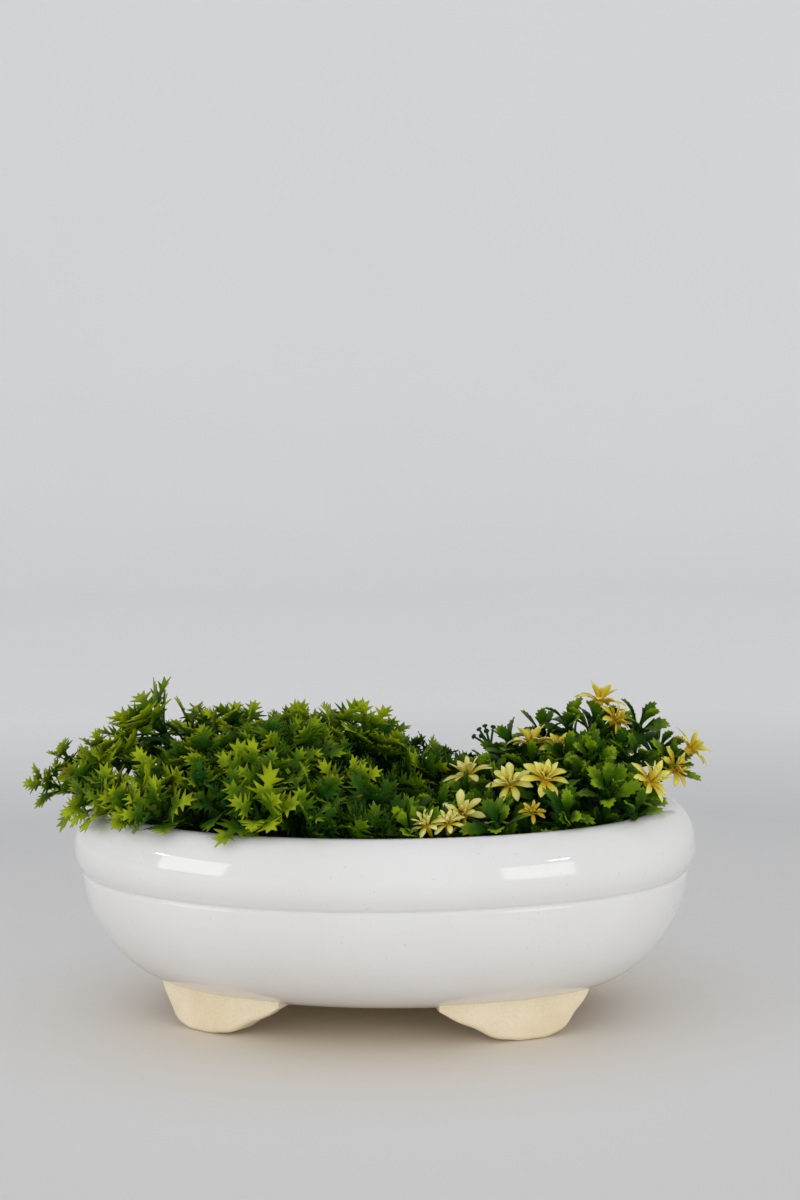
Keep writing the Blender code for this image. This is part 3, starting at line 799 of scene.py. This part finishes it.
def add_flower(growth, centre, axis, spin, size, tone, rng):
    """A star flower: a recurved outer row of petals, two steeper inner rows, stamens and a tube."""
    matrix = frame_at(centre, axis, spin)
    points, faces = turned([(r * size, h * size) for r, h in TUBE_PROFILE], 10, matrix)
    growth.add(points, faces, 0.16, tone)
    for count, scale, start, end, offset, height in PETAL_ROWS:
        for i in range(count):
            turn = 2 * math.pi * (i + offset) / count + rng.uniform(-0.12, 0.12)
            points, faces, along = leaf(
                PETAL_OUTLINE, PETAL * size * scale * rng.uniform(0.9, 1.1),
                start + rng.uniform(-8, 8), end + rng.uniform(-16, 16),
                PETAL_FOLD, PETAL_CURL, PETAL_THICKNESS, rng,
            )
            spot = matrix @ Matrix.Rotation(turn, 4, "Z") @ Matrix.Translation((0.8, 0, height))
            spot = spot @ Matrix.Rotation(rng.uniform(-0.25, 0.25), 4, "X")
            placed = [spot @ p for p in points]
            if not any(hits_bowl(p) for p in placed):
                growth.add(placed, faces, along, tone)
    for i in range(5):
        lean = Matrix.Rotation(2 * math.pi * i / 5, 4, "Z") @ Matrix.Rotation(0.35, 4, "Y")
        points, faces = turned([(r, h * size) for r, h in STAMEN_PROFILE], 6, matrix @ lean)
        growth.add(points, faces, 0.08, tone)


def add_tube(growth, path, radii, sides, along, tone_and_painted_shade):
    """A tapering round stalk through a list of points."""
    points = []
    for i, middle in enumerate(path):
        before = path[max(0, i - 1)]
        after = path[min(len(path) - 1, i + 1)]
        level, other = across((after - before).normalized())
        for k in range(sides):
            turn = 2 * math.pi * k / sides
            points.append(middle + (level * math.cos(turn) + other * math.sin(turn)) * radii[i])
    growth.add(points, ring_faces(len(path), sides), along, tone_and_painted_shade)


# ================================================================ sprigs
class Sprig:
    """What the frame says of one sprig: its pick, its curved stem and its whorls, in mm."""

    def __init__(self, body):
        self.body = body
        self.pick = BODIES[body]
        members = frame["record"]["behaviour"]["bodies"][body]
        self.stem_node = next(n for n in members if n.endswith("_stem"))
        self.whorls = {n: whorl_place(n) for n in members if n != self.stem_node}
        stem = [v.co / MM for v in frame["nodes"][self.stem_node].data.vertices]
        lowest = min(p.dot(self.pick) for p in stem)
        point = mean([p for p in stem if p.dot(self.pick) < lowest + 0.2])
        self.foot = point + self.pick * PICK_LENGTH
        top = max(self.whorls.values(), key=lambda place: place[0].z)
        highest = max(p.z for p in stem)
        if highest - top[0].z > 6:
            self.tip = mean([p for p in stem if p.z > highest - 1.5]) - self.pick * TIP_PAST
        else:
            self.tip = top[0] - top[1] * WHORL_LIFT
        # The stem leaves the foam along its pick.
        self.bend = self.foot + self.pick * (0.6 * (self.tip.z - self.foot.z) / self.pick.z)

    def at(self, t):
        """Point on the stem's curve, from its foot (t 0) to its tip (t 1)."""
        return self.foot * (1 - t) ** 2 + self.bend * (2 * t * (1 - t)) + self.tip * t**2

    def way(self, t):
        """Direction of the stem's curve there."""
        return ((self.bend - self.foot) * (1 - t) + (self.tip - self.bend) * t).normalized()


def mean(points):
    """Middle of a list of points."""
    total = Vector((0, 0, 0))
    for p in points:
        total += p
    return total / len(points)


def whorl_place(node):
    """Centre and axis of a whorl's hub, from the CAD whorl's own points."""
    points = [v.co / MM for v in frame["nodes"][node].data.vertices]
    middle = mean(points)
    near = sorted(points, key=lambda p: (p - middle).length)
    far = near[-len(points) // 4:]
    normal = Vector((0, 0, 0))
    for i, p in enumerate(far):
        for q in far[i + 1:]:
            flat = (p - middle).cross(q - middle)
            normal += flat if flat.z >= 0 else -flat
    axis = normal.normalized()
    close = [p for p in points if (p - middle - axis * (p - middle).dot(axis)).length < HUB_REACH]
    return mean(close), axis


def cubic(begin, control, arrive, end, s):
    """Point on a cubic curve, from its beginning (s 0) to its end (s 1)."""
    start = begin * (1 - s) ** 3 + control * (3 * s * (1 - s) ** 2)
    return start + arrive * (3 * s**2 * (1 - s)) + end * s**3


def build_stem(sprig, side_shoots):
    """Pick, collar, curved stem with its seats, and a stalk out to every side whorl."""
    growth = Growth()
    lean = math.acos(min(1.0, sprig.pick.z))
    start = (COLLAR_RADIUS * math.sin(lean) + 0.3) / math.cos(lean)
    foot = sprig.foot
    rows = ((-PICK_LENGTH, 0.3), (-PICK_LENGTH + 1.5, 0.95), (-PICK_LENGTH + 4, 1.45), (start, PICK_RADIUS))
    rows += ((start, COLLAR_RADIUS), (start + 0.9, COLLAR_RADIUS * 0.96), (start + 1.7, 1.6))
    path = [foot + sprig.pick * length for length, _ in rows]
    radii = [radius for _, radius in rows]
    steps = 18
    for i in range(2, steps + 1):
        t = i / steps
        path.append(sprig.at(t))
        radii.append(PICK_RADIUS + (TIP_RADIUS - PICK_RADIUS) * t)
    path.append(sprig.tip + sprig.way(1.0) * TIP_PAST)
    radii.append(TIP_RADIUS * 0.8)
    add_tube(growth, path, radii, 12, 0.35, 0.4)
    for centre, axis in sprig.whorls.values():
        seat = frame_at(centre - axis * WHORL_LIFT, axis, 0)
        points, faces = turned(((1.1, -1.8), (1.5, -1.2), (SEAT_RADIUS, -0.3), (1.2, 0.0)), 12, seat)
        growth.add(points, faces, 0.3, 0.35)
    for t, end, axis in side_shoots:
        begin = sprig.at(t)
        reach = (end - begin).length
        control = begin + sprig.way(t) * (0.30 * reach) + (end - begin) * 0.25
        arrive = end - axis * min(4.0, 0.35 * reach)
        stalk = [cubic(begin, control, arrive, end, i / 8) for i in range(9)]
        add_tube(growth, stalk, [0.95 - 0.25 * i / 8 for i in range(9)], 7, 0.45, 0.45)
    if not any(n.endswith("_petals") or n.endswith(sprig.body + "_leaves") for n in sprig.whorls):
        add_pegs(growth, sprig)
    growth.finish(sprig.body + "_stem_detail", sprig.body, "stem", [sprig.stem_node])


PEG_PROFILE = ((0.55, -1.0), (0.5, 4.0), (0.42, 8.2), (1.15, 8.6), (1.05, 9.2), (0.3, 9.4))


def add_pegs(growth, sprig):
    """The bare tip: a fan of pegs with nail heads, from which the leaves are missing."""
    fan = frame_at(sprig.tip, sprig.way(1.0), 0.4)
    for i in range(6):
        lean = Matrix.Rotation(2 * math.pi * i / 6, 4, "Z")
        lean = lean @ Matrix.Rotation(0.25 + 0.13 * (i % 3), 4, "Y")
        points, faces = turned(PEG_PROFILE, 8, fan @ lean)
        growth.add(points, faces, 0.5, 0.4)


def crown_height(table, x, y):
    """Height of the foliage: the crown's line along the length, falling away to front and back."""
    top = blend_table(table, x)
    edge = CREST + 3.0
    # The fern clump dips at its front beside the flowers; the flowering one slopes to the front rim.
    if table is FERN_CROWN and y < 8:
        top -= min(10.0, max(0.0, (x + 22) * 0.3))
    if table is FERN_CROWN or y > 18:
        fall = max(0.0, 1 - (y / 84.0) ** 2) ** 0.55
    else:
        fall = max(0.0, 1 - ((18 - y) / 88.0) ** 1.25)
    return edge + (top - edge) * fall


def crown_normal(table, x, y):
    """Which way the crown faces, leaning out a little more than its slope."""
    step = 4.0
    slope_x = (crown_height(table, x + step, y) - crown_height(table, x - step, y)) / (2 * step)
    slope_y = (crown_height(table, x, y + step) - crown_height(table, x, y - step)) / (2 * step)
    return Vector((-slope_x * 1.3, -slope_y * 1.3, 1)).normalized()


def crown_places(table, count, keep, taken, spacing, drop, rng):
    """Evenly spread places on the crown of a clump, as (point, axis), skipping taken ones."""
    places = []
    golden = math.pi * (3 - math.sqrt(5))
    for i in range(count):
        radius = math.sqrt((i + 0.5) / count)
        x = (HALF_LENGTH - 12) * radius * math.cos(i * golden) + rng.uniform(-2, 2)
        y = (HALF_DEPTH - 15) * radius * math.sin(i * golden) + rng.uniform(-2, 2)
        if not keep(x):
            continue
        axis = crown_normal(table, x, y)
        point = Vector((x, y, crown_height(table, x, y) + rng.uniform(-3.5, 3) - drop)) - axis * 5
        point.z = max(point.z, FOAM_TOP + 7.0)
        if any((point - other).length < spacing for other in taken):
            continue
        if hits_bowl(point - axis * 3):
            continue
        lean = Vector((rng.uniform(-0.22, 0.22), rng.uniform(-0.22, 0.22), 0))
        places.append((point, (axis + lean).normalized()))
    return places


def nearest(sprigs, point):
    """The sprig whose stem passes nearest to a point."""
    return min(sprigs, key=lambda s: min((s.at(t) - point).length for t in (0.5, 0.75, 1.0)))


def leaving(sprig, point, axis):
    """Where along a stem a stalk to a whorl should leave it."""
    below = point - axis * 5 - Vector((0, 0, 7))
    return min((0.25 + 0.05 * i for i in range(14)), key=lambda t: (sprig.at(t) - below).length)


def main():
    """Build every piece; the CAD foam stays and only takes its material."""
    build_bowl()
    for word_y, side_y in (("front", -1), ("rear", 1)):
        for word_x, side_x in (("left", -1), ("right", 1)):
            build_foot(f"{word_y}_{word_x}", side_x, side_y)
    for word in ("left", "right"):
        foam = frame["nodes"]["floral_foam_" + word]
        foam.data.materials.clear()
        foam.data.materials.append(MATERIALS["foam"])

    sprigs = {body: Sprig(body) for body in BODIES}
    blooms = {body: [] for body in sprigs}
    shoots = {body: [] for body in sprigs}
    for body, point, axis, size, paleness in PLACED_FLOWERS:
        blooms[body].append((Vector(point), Vector(axis).normalized(), size, paleness))
    for body, point, axis, size, shade in PLACED_SHOOTS:
        shoots[body].append((Vector(point), Vector(axis).normalized(), size, shade))
    petals = [row[0] for rows in blooms.values() for row in rows]
    petals += [p[0] for s in sprigs.values() for n, p in s.whorls.items() if n.endswith("_petals")]
    clumps = (
        ("fern", FERN_CROWN, lambda x: x < FERN_EDGE, FERN_SHOOTS, FERN_SPACING),
        ("serrate", SERRATE_CROWN, lambda x: x > SERRATE_EDGE, SERRATE_SHOOTS, SERRATE_SPACING),
    )
    for kind, table, keep, count, spacing in clumps:
        rng = random.Random(kind)
        mine = [s for s in sprigs.values() if s.body.startswith("fern") == (kind == "fern")]
        taken = [place[0] for s in mine for place in s.whorls.values()]
        taken += [row[0] for s in mine for row in shoots[s.body]]
        for drop, share in ((0.0, 1.0), (LOWER_LAYER, 0.6)):
            tries = int(count * share)
            for point, axis in crown_places(table, tries, keep, taken, spacing, drop, rng):
                if any(shades(point, flower) for flower in petals):
                    continue
                # Shoots of the lower layer get painted shade; those on top get a random brightness.
                shade = rng.uniform(0.05, 0.22) if drop else rng.uniform(0.25, 0.85)
                # The fern gets painted shade towards the flowers, where its clump dips.
                if kind == "fern":
                    near_edge = min(1.0, max(0.0, (point.x + 22) / 26))
                    shade *= 1 - 0.75 * near_edge
                owner = nearest(mine, point)
                shoots[owner.body].append((point, axis, rng.uniform(0.72, 1.08), shade))
    for sprig in sprigs.values():
        build_sprig(sprig, shoots[sprig.body], blooms[sprig.body])
    build_studio()


def shades(point, flower):
    """Whether a shoot would stand in front of a flower or over it."""
    away = flower - point
    beside = math.hypot(away.x, away.y) < FLOWER_ROOM
    return beside and away.z < FLOWER_DROP and away.y > -FLOWER_BEHIND


TALL_SPRAY = "fern_top_left_leaves"   # the spray that stands above the fern clump
TALL_SPRAY_SIZE = 1.35


def build_sprig(sprig, shoots, blooms):
    """Every visible piece of one sprig."""
    rng = random.Random(sprig.body)
    kind = "fern" if sprig.body.startswith("fern") else "serrate"
    ends = [(leaving(sprig, row[0], row[1]), row[0], row[1]) for row in shoots + blooms]
    build_stem(sprig, ends)
    for node, (centre, axis) in sprig.whorls.items():
        growth = Growth()
        if node.endswith("_petals"):
            # The flowers that stand highest are the most golden.
            high = min(1.0, max(0.0, (centre.z - 92) / 16))
            paleness = rng.uniform(0.45, 0.85) * (1 - 0.7 * high)
            add_flower(growth, centre, axis, rng.uniform(0, 6), 1.0, paleness, rng)
            growth.finish(node + "_detail", sprig.body, "petal", [node])
            continue
        size = TALL_SPRAY_SIZE if node == TALL_SPRAY else 1.0
        # A sprig's own whorls get a set brightness; the fern's is raised as painted light on the top of its clump.
        shade = 0.8 if kind == "fern" else 0.6
        add_whorl(growth, kind, centre, axis, rng.uniform(0, 6), size, shade, rng)
        growth.finish(node + "_detail", sprig.body, kind, [node])
    if shoots:
        growth = Growth()
        for point, axis, size, shade in shoots:
            add_whorl(growth, kind, point, axis, rng.uniform(0, 6), size, shade, rng)
        growth.finish(sprig.body + "_side_shoots", sprig.body, kind)
    if blooms:
        growth = Growth()
        for point, axis, size, paleness in blooms:
            add_flower(growth, point, axis, rng.uniform(0, 6), size, paleness, rng)
        growth.finish(sprig.body + "_side_flowers", sprig.body, "petal")


# ================================================================ studio, m
CAMERA_PLACE = Vector((0.1548, -0.8998, 0.232))
CAMERA_LENS = 72.0
CAMERA_DOWN = 4.70           # degrees
CAMERA_TURN = 9.23
CAMERA_ROLL = -1.05
MIDDLE_HEIGHT = 0.067        # of the piece, where the lamps point
WORLD_STRENGTH = 0.595
SWEEP_FLAT = 2000.0          # radius of the level floor, mm
SWEEP_BEND = 700.0           # radius of the curve up into the wall, mm
SWEEP_TALL = 1500.0
SWEEP_FLOOR = -0.05          # just under the feet, mm


def add_area(name, place, target, size, watts, mirrored=True):
    """A rectangular lamp; one that isn't mirrored lights the glaze without showing in it."""
    lamp = bpy.data.lights.new(name, "AREA")
    lamp.shape = "RECTANGLE"
    lamp.size, lamp.size_y = size
    lamp.energy = watts
    thing = bpy.data.objects.new(name, lamp)
    thing.location = place
    thing.rotation_euler = (Vector(target) - Vector(place)).to_track_quat("-Z", "Y").to_euler()
    thing.visible_glossy = mirrored
    bpy.context.scene.collection.objects.link(thing)


def lamp_towards(azimuth, elevation, distance):
    """A lamp's place, from its bearing round the piece (0 is straight in front) and its height."""
    turn = math.radians(azimuth)
    rise = math.radians(elevation)
    flat = distance * math.cos(rise)
    height = MIDDLE_HEIGHT + distance * math.sin(rise)
    return Vector((flat * math.sin(turn), -flat * math.cos(turn), height))


def build_studio():
    """A round pale sweep, soft lamps and the camera."""
    sides = 96
    profile = [(radius, SWEEP_FLOOR) for radius in (1.0, SWEEP_FLAT * 0.5, SWEEP_FLAT)]
    for i in range(1, 13):
        turn = math.radians(90 * i / 12)
        radius = SWEEP_FLAT + SWEEP_BEND * math.sin(turn)
        profile.append((radius, SWEEP_BEND * (1 - math.cos(turn))))
    profile.append((SWEEP_FLAT + SWEEP_BEND, SWEEP_TALL))
    points = []
    for radius, height in profile:
        for i in range(sides):
            turn = 2 * math.pi * i / sides
            points.append((radius * math.cos(turn), radius * math.sin(turn), height))
    faces = ring_faces(len(profile), sides, close=False) + [tuple(range(sides))]
    sweep = new_object("studio_sweep", points, faces)
    sweep.data.materials.append(stage_material())

    world = bpy.data.worlds.new("studio")
    world.use_nodes = True
    back = world.node_tree.nodes["Background"]
    back.inputs["Color"].default_value = (0.97, 0.98, 1.0, 1.0)
    back.inputs["Strength"].default_value = WORLD_STRENGTH
    bpy.context.scene.world = world

    target = (0, 0, MIDDLE_HEIGHT)
    add_area("overhead", (0.0, 0.3, 1.9), target, (1.6, 1.6), 0.7, mirrored=False)
    add_area("front_fill", lamp_towards(5, 12, 1.9), target, (3.4, 1.1), 12.4, mirrored=False)
    add_area("left_fill", lamp_towards(-92, 14, 1.6), target, (1.0, 0.8), 2.2, mirrored=False)
    add_area("right_fill", lamp_towards(96, 14, 1.6), target, (1.0, 0.8), 2.2, mirrored=False)
    add_area("wall_wash", (0.0, 0.9, 1.7), (0.0, 2.9, 0.5), (2.4, 0.6), 3)
    add_area("left_box", lamp_towards(-56, 11, 1.1), target, (0.50, 0.40), 1.45)
    add_area("right_box", lamp_towards(49, 7, 1.1), target, (0.50, 0.38), 1.3)
    add_area("left_strip", lamp_towards(-71, 20, 1.1), target, (0.10, 0.03), 0.15)
    add_area("right_strip", lamp_towards(58, 22, 1.1), target, (0.16, 0.03), 0.2)

    camera = bpy.data.cameras.new("camera")
    camera.lens = CAMERA_LENS
    camera.sensor_width = 36.0
    thing = bpy.data.objects.new("camera", camera)
    turn = Matrix.Rotation(math.radians(CAMERA_TURN), 4, "Z")
    tilt = Matrix.Rotation(math.radians(90 - CAMERA_DOWN), 4, "X")
    roll = Matrix.Rotation(math.radians(CAMERA_ROLL), 4, "Z")
    thing.matrix_world = Matrix.Translation(CAMERA_PLACE) @ turn @ tilt @ roll
    bpy.context.scene.collection.objects.link(thing)
    bpy.context.scene.camera = thing
    bpy.context.scene.view_settings.view_transform = "Standard"


main()
